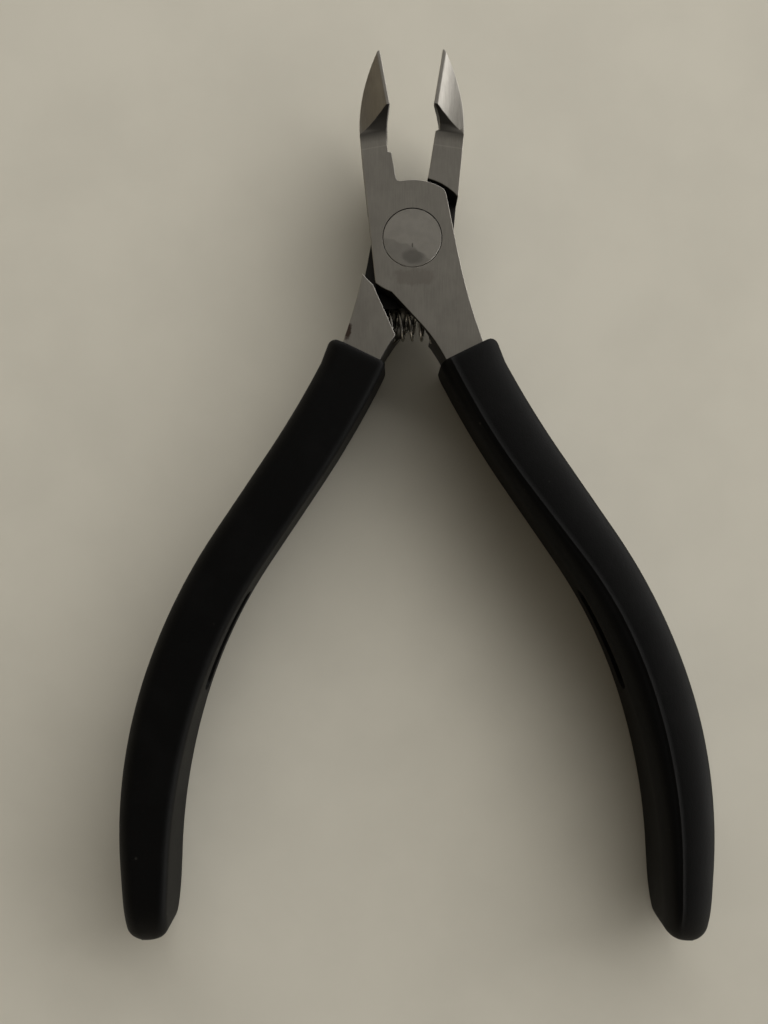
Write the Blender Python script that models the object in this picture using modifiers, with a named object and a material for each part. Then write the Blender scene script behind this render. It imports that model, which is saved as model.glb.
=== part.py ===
"""Small diagonal cutting pliers, lying open on their back.

Two lapped steel levers turn on a flush rivet, a coil spring between the tangs opens them, and a
moulded sleeve covers each tang. The origin is on the pivot axis at the flat back face of the joint,
+Y runs to the jaw tips and +Z comes out of the front face. Each lever is drawn shut, with its
cutting edge beside the plane X = 0, and the empty on its axis then opens it by half the opening.
"""

import math

import bmesh
import bpy
from mathutils import Matrix, Vector

MM = 0.001

# Joint
OPENING_ANGLE = 18.8
STEEL_THICKNESS = 7.0 * MM
LAP_CLEARANCE = 0.2 * MM
BOSS_RADIUS = 8.3 * MM
SHOULDER_CLEARANCE = 0.4 * MM

# Edges of the joint plate, as a distance from the pivot and a lean from the centre plane
JAW_EDGE_OFFSET = 5.9 * MM
JAW_EDGE_LEAN = 3.5
HANDLE_EDGE_OFFSET = 5.95 * MM
HANDLE_EDGE_LEAN = 1.5
RELIEF_EDGE_OFFSET = 7.4 * MM
RELIEF_EDGE_LEAN = 32.9
PLATE_CORNER = 0.7 * MM

# Jaws
JAW_REACH = 27.1 * MM
JAW_ARC_RADIUS = 23.0 * MM
TIP_WIDTH = 0.3 * MM
CUTTING_LENGTH = 8.4 * MM
EDGE_CLEARANCE = 0.05 * MM
THROAT_HALF_WIDTH = 0.85 * MM
THROAT_FILLET = 0.7 * MM
FRONT_NOTCH_LENGTH = 6.2 * MM
FRONT_NOTCH_DEPTH = 1.35 * MM
REAR_NOTCH_LENGTH = 3.2 * MM
REAR_NOTCH_DEPTH = 1.4 * MM
NOTCH_STEP = 0.25 * MM

# Ground faces of the jaw heads
HEAD_RAISE = 1.3 * MM
HEAD_SCOOP_LENGTH = 5.1 * MM
HEAD_BEVEL = 28.0
HEAD_HOLLOW_RADIUS = 14.0 * MM
HEAD_TIP_FALL = 7.0
LAND_WIDTH = 0.55 * MM
EDGE_HEIGHT = 0.7 * MM
WEDGE_ANGLE = 22.0
WEDGE_RUNOUT = 1.6 * MM
BACK_TAPER = 18.0
BACK_TAPER_LENGTH = 13.5 * MM

# Rivet
RIVET_HEAD_DIAMETER = 8.2 * MM
RIVET_HEAD_DEPTH = 1.4 * MM
RIVET_SHANK_DIAMETER = 5.0 * MM
RIVET_CHAMFER = 0.2 * MM
RIVET_CLEARANCE = 0.15 * MM

# Handle line, from the mouth of the sleeve to its end
MOUTH_X = 4.8 * MM
MOUTH_Y = -17.2 * MM
MOUTH_LEAN = 17.0
OUT_BEND = 7.7
OUT_BEND_RADIUS = 146.0 * MM
STRAIGHT_LENGTH = 13.2 * MM
IN_BEND = 34.8
IN_BEND_RADIUS = 77.8 * MM

# Tang and the sleeve round it
TANG_WIDTH = 5.6 * MM
TANG_TIP_WIDTH = 3.8 * MM
TANG_SWELL = 0.25 * MM
TANG_SWELL_LENGTH = 4.5 * MM
TANG_CLEARANCE = 0.2 * MM
SLEEVE_OUTER_WALL = 1.5 * MM
SLEEVE_INNER_WALL = 0.9 * MM
SLEEVE_FACE_WALL = 1.5 * MM
SLEEVE_LENGTH = 91.3 * MM
SLEEVE_PAST_TANG = 28.0 * MM
SLEEVE_OUTER_RADIUS = 2.4 * MM
SLEEVE_INNER_RADIUS = 1.1 * MM
SLEEVE_COLLAR_LENGTH = 4.0 * MM
SLEEVE_COLLAR_FLARE = 0.45 * MM
SLEEVE_MOUTH_ROUND = 1.2 * MM
SLEEVE_LIP_ROUND = 0.3 * MM
SLEEVE_TAPER_LENGTH = 36.0 * MM
SLEEVE_END_WIDTH = 5.6 * MM
SLEEVE_END_ROUND = 2.0 * MM
SLOT_STATION = 46.1 * MM
SLOT_LENGTH = 16.3 * MM
SLOT_WIDTH = 2.7 * MM

# Return spring
SPRING_REACH = 11.7 * MM
SPRING_SEAT = 6.0 * MM
SPRING_DIAMETER = 4.5 * MM
SPRING_WIRE = 0.45 * MM
SPRING_TURNS = 9
SPRING_CLEARANCE = 0.3 * MM

# Facets
ROUND_SIDES = 64
CURVE_STEP = 3.0 * MM
FINE_STEP = 1.0 * MM
CORNER_STEPS = 4
END_RING_ANGLES = (30, 60, 80)
MOUTH_RING_ANGLES = (0, 25, 55, 90)
POINTS_PER_CURL = 10

WELD = 1e-7
CUT_START = JAW_REACH - CUTTING_LENGTH
LAP_HEIGHT = STEEL_THICKNESS / 2
HEAD_TOP = STEEL_THICKNESS + HEAD_RAISE
OVERCUT = STEEL_THICKNESS

FLAT = Matrix.Identity(4)
SIDEWAYS = Matrix(((0, 0, 1, 0), (1, 0, 0, 0), (0, 1, 0, 0), (0, 0, 0, 1)))
ENDWAYS = Matrix(((1, 0, 0, 0), (0, 0, -1, 0), (0, 1, 0, 0), (0, 0, 0, 1)))

for old in list(bpy.data.objects):
    bpy.data.objects.remove(old, do_unlink=True)

parts = bpy.data.collections.new("diagonal_cutting_pliers")
cutters = bpy.data.collections.new("cutters")
bpy.context.scene.collection.children.link(parts)
bpy.context.scene.collection.children.link(cutters)


def material(name, colour, roughness, metallic):
    """A plain Principled material."""
    made = bpy.data.materials.new(name)
    made.use_nodes = True
    shader = made.node_tree.nodes["Principled BSDF"]
    shader.inputs["Base Color"].default_value = (*colour, 1.0)
    shader.inputs["Roughness"].default_value = roughness
    shader.inputs["Metallic"].default_value = metallic
    return made


def arc(centre, radius, start, end, step=CURVE_STEP):
    """Points along an arc, its angles in degrees."""
    count = max(2, math.ceil(abs(math.radians(end - start)) * radius / step))
    angles = [math.radians(start + (end - start) * i / count) for i in range(count + 1)]
    return [Vector((centre[0] + radius * math.cos(a), centre[1] + radius * math.sin(a))) for a in angles]


def bend(start, corner, end, count=6):
    """A smooth bend from start to end, tangent to the lines that meet at the corner."""
    shares = [i / count for i in range(count + 1)]
    return [(1 - t) ** 2 * start + 2 * t * (1 - t) * corner + t * t * end for t in shares]


def lines_meet(point, along, other, other_along):
    """Where two lines in the plane cross."""
    across = along.x * other_along.y - along.y * other_along.x
    gap = other - point
    return point + along * ((gap.x * other_along.y - gap.y * other_along.x) / across)


def on_circle(point, along, radius):
    """Where the ray from a point inside a circle round the pivot leaves it."""
    half = point.dot(along)
    return point + along * (-half + math.sqrt(half * half - point.length_squared + radius * radius))


def degrees_of(point):
    """The direction of a point from the pivot, from 0 to 360 degrees."""
    return math.degrees(math.atan2(point.y, point.x)) % 360


def place(thing, collection, parent=None):
    """Puts an object in its collection and, if given, on its axis."""
    collection.objects.link(thing)
    thing.parent = parent
    return thing


def closed(mesh):
    """Welds a mesh's seams and turns its faces outward."""
    work = bmesh.new()
    work.from_mesh(mesh)
    bmesh.ops.remove_doubles(work, verts=work.verts, dist=WELD)
    bmesh.ops.recalc_face_normals(work, faces=work.faces)
    work.to_mesh(mesh)
    work.free()
    return mesh


def solid_from_curve(name, curve, matrix):
    """The mesh object of a curve, placed by a matrix in its parent's frame."""
    guide = bpy.data.objects.new(name + "_curve", curve)
    cutters.objects.link(guide)
    evaluated = guide.evaluated_get(bpy.context.evaluated_depsgraph_get())
    mesh = closed(bpy.data.meshes.new_from_object(evaluated))
    bpy.data.objects.remove(guide, do_unlink=True)
    mesh.name = name
    made = bpy.data.objects.new(name, mesh)
    made.matrix_local = matrix
    return made


def prism(name, outline, low, high, plane=FLAT):
    """A filled outline, extruded between two distances along the plane's own normal."""
    curve = bpy.data.curves.new(name, "CURVE")
    curve.dimensions = "2D"
    curve.fill_mode = "BOTH"
    curve.extrude = (high - low) / 2
    spline = curve.splines.new("POLY")
    spline.points.add(len(outline) - 1)
    for control, point in zip(spline.points, outline):
        control.co = (point[0], point[1], 0, 1)
    spline.use_cyclic_u = True
    return solid_from_curve(name, curve, plane @ Matrix.Translation((0, 0, (low + high) / 2)))


def cylinder(name, radius, low, high, plane=FLAT):
    """A round bar along the plane's normal."""
    mesh = bpy.data.meshes.new(name)
    work = bmesh.new()
    bmesh.ops.create_cone(
        work, cap_ends=True, segments=ROUND_SIDES, radius1=radius, radius2=radius, depth=high - low
    )
    work.to_mesh(mesh)
    work.free()
    made = bpy.data.objects.new(name, mesh)
    made.matrix_local = plane @ Matrix.Translation((0, 0, (low + high) / 2))
    return made


def half_space(name, point, normal, size):
    """A large block whose flat face passes through the point and which lies on the normal's side."""
    mesh = bpy.data.meshes.new(name)
    work = bmesh.new()
    bmesh.ops.create_cube(work, size=size)
    work.to_mesh(mesh)
    work.free()
    made = bpy.data.objects.new(name, mesh)
    turn = Vector((0, 0, 1)).rotation_difference(normal).to_matrix().to_4x4()
    made.matrix_local = Matrix.Translation(point + normal.normalized() * size / 2) @ turn
    return made


def cut(target, cutter, parent=None):
    """Takes the cutter out of the target."""
    place(cutter, cutters, parent)
    cutter.hide_render = True
    cutter.display_type = "WIRE"
    boolean = target.modifiers.new(cutter.name, "BOOLEAN")
    boolean.operation = "DIFFERENCE"
    boolean.solver = "EXACT"
    boolean.object = cutter


def handle_line(station):
    """The handle's centre line in the shut lever: the point there, its run and its outward side."""
    out_length = math.radians(OUT_BEND) * OUT_BEND_RADIUS
    in_length = math.radians(IN_BEND) * IN_BEND_RADIUS
    point = Vector((MOUTH_X, MOUTH_Y))
    lean = math.radians(MOUTH_LEAN)
    stretches = (
        (out_length, 1 / OUT_BEND_RADIUS),
        (STRAIGHT_LENGTH, 0.0),
        (in_length, -1 / IN_BEND_RADIUS),
        (math.inf, 0.0),
    )
    if station < 0:
        stretches = ((math.inf, 0.0),)
    left = station
    for length, curvature in stretches:
        run = min(left, length)
        turned = lean + curvature * run
        middle = (lean + turned) / 2
        half_turn = curvature * run / 2
        chord = run * (math.sin(half_turn) / half_turn if half_turn else 1.0)
        point = point + Vector((math.sin(middle), -math.cos(middle))) * chord
        lean = turned
        left -= run
        if left <= 0:
            break
    return point, Vector((math.sin(lean), -math.cos(lean))), Vector((math.cos(lean), math.sin(lean)))


def stations(start, end):
    """Even steps along the handle line."""
    count = math.ceil((end - start) / CURVE_STEP)
    return [start + (end - start) * i / count for i in range(count + 1)]


SLEEVE_WIDTH = SLEEVE_OUTER_WALL + TANG_WIDTH + 2 * TANG_CLEARANCE + SLEEVE_INNER_WALL
TANG_OUTER = SLEEVE_WIDTH / 2 - SLEEVE_OUTER_WALL - TANG_CLEARANCE
TANG_LENGTH = SLEEVE_LENGTH - SLEEVE_PAST_TANG


def tang_side(station, outer, clearance=0.0):
    """A point on the tang's outer or inner side, or clear of it."""
    point, _, side = handle_line(station)
    share = min(max(station / TANG_LENGTH, 0.0), 1.0)
    width = TANG_WIDTH + (TANG_TIP_WIDTH - TANG_WIDTH) * share
    swell = TANG_SWELL * max(0.0, 1 - station / TANG_SWELL_LENGTH) ** 2
    reach = TANG_OUTER + swell + clearance if outer else TANG_OUTER - width - clearance
    return point + side * reach


def lever_outline(notch_length, notch_depth):
    """The shut lever from the front, its jaw on -X and its tang on +X."""
    tip = Vector((-EDGE_CLEARANCE - TIP_WIDTH, JAW_REACH))
    lean = math.radians(JAW_EDGE_LEAN)
    edge_up = Vector((math.sin(lean), math.cos(lean)))
    edge_in = Vector((math.cos(lean), -math.sin(lean)))
    edge_foot = Vector((-JAW_EDGE_OFFSET, 0))
    offset = edge_foot + edge_in * JAW_ARC_RADIUS - tip
    half = offset.dot(edge_up)
    rise = -half - math.sqrt(half * half - offset.length_squared + JAW_ARC_RADIUS**2)
    arc_centre = edge_foot + edge_in * JAW_ARC_RADIUS + edge_up * rise
    tip_angle = degrees_of(tip - arc_centre)
    outline = arc(arc_centre, JAW_ARC_RADIUS, tip_angle, 180 - JAW_EDGE_LEAN, FINE_STEP)

    corner = on_circle(edge_foot, -edge_up, BOSS_RADIUS)
    relief_angle = 180 + RELIEF_EDGE_LEAN
    relief_start = relief_angle + math.degrees(math.acos(RELIEF_EDGE_OFFSET / BOSS_RADIUS))
    outline += arc((0, 0), BOSS_RADIUS, degrees_of(corner), relief_start, FINE_STEP)

    relief = math.radians(RELIEF_EDGE_LEAN)
    relief_run = Vector((math.sin(relief), -math.cos(relief)))
    _, run, side = handle_line(0.0)
    inner_mouth = tang_side(0.0, False)
    knee = lines_meet(outline[-1], relief_run, inner_mouth, run)
    outline += bend(knee - relief_run * (inner_mouth - knee).length, knee, inner_mouth)
    tang = stations(0.0, TANG_LENGTH)
    outline += [tang_side(station, False) for station in tang[1:]]
    outline += [tang_side(station, True) for station in reversed(tang)]

    handle = math.radians(HANDLE_EDGE_LEAN)
    handle_up = Vector((-math.sin(handle), math.cos(handle)))
    handle_foot = Vector((HANDLE_EDGE_OFFSET, 0))
    outer_mouth = tang_side(0.0, True)
    outer_run = run - side * (2 * TANG_SWELL / TANG_SWELL_LENGTH)
    elbow = lines_meet(handle_foot, handle_up, outer_mouth, outer_run)
    outline += bend(outer_mouth, elbow, elbow + handle_up * (outer_mouth - elbow).length)[1:]

    shoulder = on_circle(handle_foot, handle_up, BOSS_RADIUS)
    corner_turn = math.degrees(PLATE_CORNER / BOSS_RADIUS)
    past_corner = degrees_of(shoulder) + corner_turn
    throat_x = -THROAT_HALF_WIDTH
    throat_angle = 90 + math.degrees(math.asin((THROAT_HALF_WIDTH - THROAT_FILLET) / BOSS_RADIUS))
    boss = arc((0, 0), BOSS_RADIUS, past_corner, throat_angle, FINE_STEP)
    outline += bend(shoulder - handle_up * PLATE_CORNER, shoulder, boss[0], 3)
    outline += boss[1:]
    throat = Vector((throat_x, boss[-1].y))
    outline += bend(boss[-1], throat, throat + Vector((0, THROAT_FILLET)), 4)[1:]

    notch_end = CUT_START - notch_length
    outline.append(Vector((throat_x, notch_end)))
    notch_foot = Vector((-notch_depth, notch_end + NOTCH_STEP))
    edge_end = Vector((-EDGE_CLEARANCE, CUT_START))
    outline += bend(notch_foot, Vector((-notch_depth, (notch_foot.y + edge_end.y) / 2)), edge_end, 4)
    outline.append(Vector((-EDGE_CLEARANCE, JAW_REACH)))
    return outline


def lap_outline():
    """What the other lever's plate sweeps in the joint, seen in the shut lever."""
    radius = BOSS_RADIUS + SHOULDER_CLEARANCE
    offset = RELIEF_EDGE_OFFSET + SHOULDER_CLEARANCE
    relief = math.radians(RELIEF_EDGE_LEAN)
    start = -RELIEF_EDGE_LEAN - math.degrees(math.acos(offset / radius))
    outline = arc((0, 0), radius, start, 180 + RELIEF_EDGE_LEAN, FINE_STEP)
    far = 2 * BOSS_RADIUS
    run = Vector((-math.sin(relief), -math.cos(relief)))
    outline.append(Vector((-far, -far)))
    outline.append(outline[0] + run * far)
    return outline


def mirrored(outline, hand):
    """An outline drawn for the front lever, turned over for the rear one."""
    return [Vector((hand * point.x, point.y)) for point in outline]


def lever(name, hand, axis, notch_length, notch_depth, steel):
    """One lever: hand 1 has its plate in front and its jaw on -X, hand -1 the other way round."""
    outline = mirrored(lever_outline(notch_length, notch_depth), hand)
    made = place(prism(name, outline, 0, HEAD_TOP + HEAD_RAISE), parts, axis)
    made.data.materials.append(steel)

    scoop_start = CUT_START - HEAD_SCOOP_LENGTH
    scoop_radius = (HEAD_SCOOP_LENGTH**2 + HEAD_RAISE**2) / (2 * HEAD_RAISE)
    scoop_end = 2 * math.degrees(math.asin(HEAD_SCOOP_LENGTH / scoop_radius))
    scoop_centre = (scoop_start, STEEL_THICKNESS + scoop_radius)
    above = HEAD_TOP + OVERCUT
    far = -2 * SLEEVE_LENGTH
    face = [Vector((far, STEEL_THICKNESS))]
    face += arc(scoop_centre, scoop_radius, -90, -90 + scoop_end, FINE_STEP)
    face += [Vector((face[-1].x, above)), Vector((far, above))]
    cut(made, prism(name + "_face_cut", face, far, -far, SIDEWAYS), axis)

    size = 2 * JAW_REACH
    fall = math.tan(math.radians(HEAD_TIP_FALL))
    fall_angle = Matrix.Rotation(math.radians(-HEAD_TIP_FALL), 4, "X")
    land_edge = Vector((0, CUT_START, HEAD_TOP))
    cut(made, half_space(name + "_land_cut", land_edge, Vector((0, fall, 1)), size), axis)
    slope = math.radians(HEAD_BEVEL)
    bevel_start = Vector((-LAND_WIDTH, 0))
    hollow_centre = bevel_start + HEAD_HOLLOW_RADIUS * Vector((-math.sin(slope), math.cos(slope)))
    hollow = [bevel_start + HEAD_RAISE * Vector((math.cos(slope), math.sin(slope)))]
    hollow += arc(hollow_centre, HEAD_HOLLOW_RADIUS, HEAD_BEVEL - 90, -90, FINE_STEP)
    hollow.append(Vector((hollow[-1].x, hollow[0].y)))
    seat = Matrix.Translation(land_edge) @ fall_angle @ ENDWAYS
    bevel_cut = prism(name + "_bevel_cut", mirrored(hollow, hand), -JAW_REACH, HEAD_SCOOP_LENGTH, seat)
    cut(made, bevel_cut, axis)
    taper_start = Vector((0, JAW_REACH - BACK_TAPER_LENGTH, 0))
    taper = Vector((0, math.tan(math.radians(BACK_TAPER)), -1))
    cut(made, half_space(name + "_back_cut", taper_start, taper, size), axis)

    wedge_top = HEAD_TOP - EDGE_HEIGHT
    wedge_low = -OVERCUT
    wedge_foot = -EDGE_CLEARANCE - math.tan(math.radians(WEDGE_ANGLE)) * (wedge_top - wedge_low)
    wedge = [
        Vector((0, 0)),
        Vector((wedge_foot, wedge_low - wedge_top)),
        Vector((JAW_REACH, wedge_low - wedge_top)),
        Vector((JAW_REACH, 0)),
    ]
    seat = Matrix.Translation((-hand * EDGE_CLEARANCE, CUT_START, wedge_top)) @ fall_angle @ ENDWAYS
    wedge_cut = prism(name + "_wedge_cut", mirrored(wedge, hand), -JAW_REACH, WEDGE_RUNOUT, seat)
    cut(made, wedge_cut, axis)

    lap = mirrored(lap_outline(), hand)
    plane = LAP_HEIGHT + hand * LAP_CLEARANCE / 2
    outside = -OVERCUT if hand > 0 else HEAD_TOP + OVERCUT
    cut(made, prism(name + "_lap_cut", lap, min(plane, outside), max(plane, outside)), axis)

    bore = RIVET_SHANK_DIAMETER / 2 + RIVET_CLEARANCE
    cut(made, cylinder(name + "_bore_cut", bore, -OVERCUT, HEAD_TOP + OVERCUT), axis)
    seat_radius = RIVET_HEAD_DIAMETER / 2 + RIVET_CLEARANCE
    seat_depth = RIVET_HEAD_DEPTH + RIVET_CLEARANCE
    low, high = (STEEL_THICKNESS - seat_depth, HEAD_TOP) if hand > 0 else (-OVERCUT, seat_depth)
    cut(made, cylinder(name + "_rivet_seat_cut", seat_radius, low, high), axis)

    pocket = SPRING_DIAMETER / 2 + SPRING_CLEARANCE
    along_x = Matrix.Translation((0, -SPRING_REACH, LAP_HEIGHT)) @ SIDEWAYS
    inner, outer = sorted((-hand * SPRING_SEAT, hand * SPRING_SEAT))
    cut(made, cylinder(name + "_spring_cut", pocket, inner, outer, along_x))
    return made


def rivet(steel):
    """The turned rivet, with a flush head at each face."""
    head = RIVET_HEAD_DIAMETER / 2
    shank = RIVET_SHANK_DIAMETER / 2
    top = STEEL_THICKNESS
    profile = [
        (0, top),
        (head - RIVET_CHAMFER, top),
        (head, top - RIVET_CHAMFER),
        (head, top - RIVET_HEAD_DEPTH),
        (shank, top - RIVET_HEAD_DEPTH),
        (shank, RIVET_HEAD_DEPTH),
        (head, RIVET_HEAD_DEPTH),
        (head, RIVET_CHAMFER),
        (head - RIVET_CHAMFER, 0),
        (0, 0),
    ]
    mesh = bpy.data.meshes.new("pivot_rivet")
    rows = range(len(profile) - 1)
    mesh.from_pydata([(x, 0, z) for x, z in profile], [(i, i + 1) for i in rows], [])
    made = place(bpy.data.objects.new("pivot_rivet", mesh), parts)
    mesh.materials.append(steel)
    turn = made.modifiers.new("turned", "SCREW")
    turn.steps = ROUND_SIDES
    turn.render_steps = ROUND_SIDES
    turn.use_merge_vertices = True
    turn.merge_threshold = WELD
    turn.use_smooth_shade = False
    return made


def spring(steel):
    """The compression coil, one wire from seat to seat, and its least gap between turns."""
    radius = (SPRING_DIAMETER - SPRING_WIRE) / 2
    end = SPRING_SEAT - SPRING_CLEARANCE
    start = end - SPRING_WIRE
    count = SPRING_TURNS * POINTS_PER_CURL
    wire = [Vector((-end, radius, 0))]
    for i in range(count + 1):
        angle = 2 * math.pi * i / POINTS_PER_CURL
        along = -start + 2 * start * i / count
        wire.append(Vector((along, radius * math.cos(angle), radius * math.sin(angle))))
    wire.append(Vector((end, radius, 0)))
    apart = POINTS_PER_CURL // 2
    gap = min((wire[i] - wire[j]).length for i in range(len(wire)) for j in range(i + apart, len(wire)))
    print(f"return_spring: least gap to itself {(gap - SPRING_WIRE) / MM:.2f} mm")

    curve = bpy.data.curves.new("return_spring", "CURVE")
    curve.dimensions = "3D"
    curve.bevel_depth = SPRING_WIRE / 2
    curve.bevel_resolution = 1
    curve.use_fill_caps = True
    spline = curve.splines.new("POLY")
    spline.points.add(len(wire) - 1)
    for control, point in zip(spline.points, wire):
        control.co = (*point, 1)
    middle = Matrix.Translation((0, -SPRING_REACH, LAP_HEIGHT))
    made = place(solid_from_curve("return_spring", curve, middle), parts)
    made.data.materials.append(steel)
    made.data.shade_smooth()
    return made


def sleeve_ring(station, inset, outer_inset, hand):
    """One section of the sleeve, a rounded rectangle drawn in by the insets."""
    point, _, side = handle_line(station)
    taper = max(0.0, station - SLEEVE_LENGTH + SLEEVE_TAPER_LENGTH) / SLEEVE_TAPER_LENGTH
    flare = SLEEVE_COLLAR_FLARE * max(0.0, 1 - station / SLEEVE_COLLAR_LENGTH)
    width = SLEEVE_WIDTH + (SLEEVE_END_WIDTH - SLEEVE_WIDTH) * taper**2
    outer = width / 2 + flare - outer_inset
    inner = -width / 2 + inset
    high = STEEL_THICKNESS / 2 + TANG_CLEARANCE + SLEEVE_FACE_WALL - inset
    broad = max(SLEEVE_OUTER_RADIUS - outer_inset, SLEEVE_OUTER_RADIUS / 2)
    tight = max(SLEEVE_INNER_RADIUS - inset, SLEEVE_INNER_RADIUS / 2)
    corners = (
        (outer - broad, high - broad, broad),
        (inner + tight, high - tight, tight),
        (inner + tight, tight - high, tight),
        (outer - broad, broad - high, broad),
    )
    ring = []
    for quarter, (across, up, radius) in enumerate(corners):
        step = radius * math.pi / 2 / CORNER_STEPS
        for corner in arc((across, up), radius, 90 * quarter, 90 * quarter + 90, step):
            spot = point + side * corner.x
            ring.append(Vector((hand * spot.x, spot.y, LAP_HEIGHT + corner.y)))
    return ring


def sleeve(name, hand, axis, rubber):
    """A moulded grip: a loft along the handle line, bored for the tang and slotted on its inner side."""
    rings = []
    for angle in MOUTH_RING_ANGLES:
        drawn_in = 1 - math.sin(math.radians(angle))
        station = SLEEVE_MOUTH_ROUND * (1 - math.cos(math.radians(angle)))
        insets = (SLEEVE_LIP_ROUND * drawn_in, SLEEVE_MOUTH_ROUND * drawn_in)
        rings.append(sleeve_ring(station, *insets, hand))
    body_end = SLEEVE_LENGTH - SLEEVE_END_ROUND
    rings += [sleeve_ring(s, 0.0, 0.0, hand) for s in stations(SLEEVE_COLLAR_LENGTH, body_end)]
    for angle in END_RING_ANGLES:
        turn = math.radians(angle)
        inset = SLEEVE_END_ROUND * (1 - math.cos(turn))
        rings.append(sleeve_ring(body_end + SLEEVE_END_ROUND * math.sin(turn), inset, inset, hand))

    work = bmesh.new()
    loops = [[work.verts.new(point) for point in ring] for ring in rings]
    for near, far in zip(loops, loops[1:]):
        for i in range(len(near)):
            work.faces.new((near[i - 1], near[i], far[i], far[i - 1]))
    work.faces.new(loops[0])
    work.faces.new(loops[-1])
    mesh = bpy.data.meshes.new(name)
    work.to_mesh(mesh)
    work.free()
    made = place(bpy.data.objects.new(name, closed(mesh)), parts, axis)
    mesh.materials.append(rubber)
    mesh.shade_smooth()
    mesh.set_sharp_from_angle(angle=math.radians(40))

    room = stations(-SLEEVE_COLLAR_LENGTH, TANG_LENGTH + TANG_CLEARANCE)
    hollow = [tang_side(s, False, TANG_CLEARANCE) for s in room]
    hollow += [tang_side(s, True, TANG_CLEARANCE) for s in reversed(room)]
    top = STEEL_THICKNESS + TANG_CLEARANCE
    cut(made, prism(name + "_bore_cut", mirrored(hollow, hand), -TANG_CLEARANCE, top), axis)

    point, run, side = handle_line(SLOT_STATION)
    half = (SLOT_LENGTH - SLOT_WIDTH) / 2
    slot = arc((half, 0), SLOT_WIDTH / 2, -90, 90, FINE_STEP / 2)
    slot += arc((-half, 0), SLOT_WIDTH / 2, 90, 270, FINE_STEP / 2)
    along = Vector((hand * run.x, run.y, 0))
    up = Vector((0, 0, 1))
    across = along.cross(up)
    seat = Matrix((along, up, across)).transposed().to_4x4()
    seat.translation = (hand * point.x, point.y, LAP_HEIGHT)
    inward = -1 if across.x * hand * side.x + across.y * side.y > 0 else 1
    low, high = sorted((0.0, inward * SLEEVE_WIDTH))
    cut(made, prism(name + "_slot_cut", slot, low, high, seat), axis)
    return made


def axis_empty(name, hand):
    """The empty on the pivot that opens a lever and all that it carries."""
    made = place(bpy.data.objects.new(name, None), parts)
    made.rotation_euler.z = math.radians(hand * OPENING_ANGLE / 2)
    return made


satin_steel = material("satin_steel", (0.36, 0.34, 0.31), 0.38, 1.0)
rivet_steel = material("rivet_steel", (0.42, 0.40, 0.37), 0.32, 1.0)
spring_steel = material("spring_steel", (0.30, 0.28, 0.26), 0.35, 1.0)
black_sleeve = material("black_sleeve", (0.018, 0.018, 0.019), 0.62, 0.0)

front_axis = axis_empty("front_axis", 1)
rear_axis = axis_empty("rear_axis", -1)
lever("front_lever", 1, front_axis, FRONT_NOTCH_LENGTH, FRONT_NOTCH_DEPTH, satin_steel)
lever("rear_lever", -1, rear_axis, REAR_NOTCH_LENGTH, REAR_NOTCH_DEPTH, satin_steel)
rivet(rivet_steel)
spring(spring_steel)
sleeve("right_grip", 1, front_axis, black_sleeve)
sleeve("left_grip", -1, rear_axis, black_sleeve)
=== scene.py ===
"""Small diagonal cutting pliers lying open on a table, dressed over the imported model."""

import math

import bmesh
import bpy
from mathutils import Matrix, Vector


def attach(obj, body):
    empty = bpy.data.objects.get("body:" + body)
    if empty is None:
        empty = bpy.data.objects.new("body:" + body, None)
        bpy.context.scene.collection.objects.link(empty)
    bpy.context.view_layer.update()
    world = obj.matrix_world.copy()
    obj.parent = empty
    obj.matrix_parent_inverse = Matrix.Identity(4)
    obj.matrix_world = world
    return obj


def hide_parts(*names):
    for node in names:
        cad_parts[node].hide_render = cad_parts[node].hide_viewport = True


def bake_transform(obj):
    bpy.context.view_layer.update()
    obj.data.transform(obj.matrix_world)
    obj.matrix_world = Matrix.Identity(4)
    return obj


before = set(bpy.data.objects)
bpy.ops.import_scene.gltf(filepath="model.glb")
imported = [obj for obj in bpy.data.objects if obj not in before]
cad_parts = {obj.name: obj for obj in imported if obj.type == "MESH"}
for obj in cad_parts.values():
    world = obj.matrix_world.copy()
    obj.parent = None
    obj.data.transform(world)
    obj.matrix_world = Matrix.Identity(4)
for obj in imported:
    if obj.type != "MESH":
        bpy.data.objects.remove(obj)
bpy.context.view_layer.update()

# The two levers: forged tool steel, ground flat on the faces and left with a fine satin grain.
# Each runs in one piece from the jaw tip to the tang and is half as thick where the two lap.
# The edges are only broken by hand, and the bare steel is a little smudged from use.

MM = 0.001
HALF_OPENING = math.radians(9.4)
LEVER_EDGE_BREAK = 0.09 * MM
EDGE_BREAK_STEPS = 2
LEVER_SHARP_ANGLE = math.radians(24)
LEVER_FLAT_ANGLE = math.radians(0.3)
SEAM_WELD = 0.001 * MM
RIVET_SEAT_REACH = 4.5 * MM
RIVET_SEAT_BREAK = 0.15
LAP_HEIGHT = 3.5 * MM
LAP_BAND = 0.4 * MM
LAP_REACH = 12.0 * MM
SCOOP_EDGE_START = 13.6 * MM
HIGHLIGHT_LINE_CORE = 0.03 * MM
HIGHLIGHT_LINE_REACH = 0.11 * MM
STEEL_GRAIN_DEPTH = 0.006 * MM
STAIN_RAGGEDNESS = 1.3

STEEL = (0.40, 0.382, 0.35)
SIDE_BLACK = (0.010, 0.0095, 0.009)
SIDE_GREY = (0.026, 0.024, 0.022)
GREASE_STAIN = (0.25, 0.225, 0.20)
RUST_STAIN = (0.05, 0.022, 0.014)


def add_node(tree, kind, inputs=(), **settings):
    """A shader or geometry node with its settings, and its inputs set or linked by name or number."""
    made = tree.nodes.new(kind)
    for name, value in settings.items():
        setattr(made, name, value)
    for socket, value in dict(inputs).items():
        if isinstance(value, bpy.types.NodeSocket):
            tree.links.new(value, made.inputs[socket])
        else:
            made.inputs[socket].default_value = value
    return made


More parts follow.
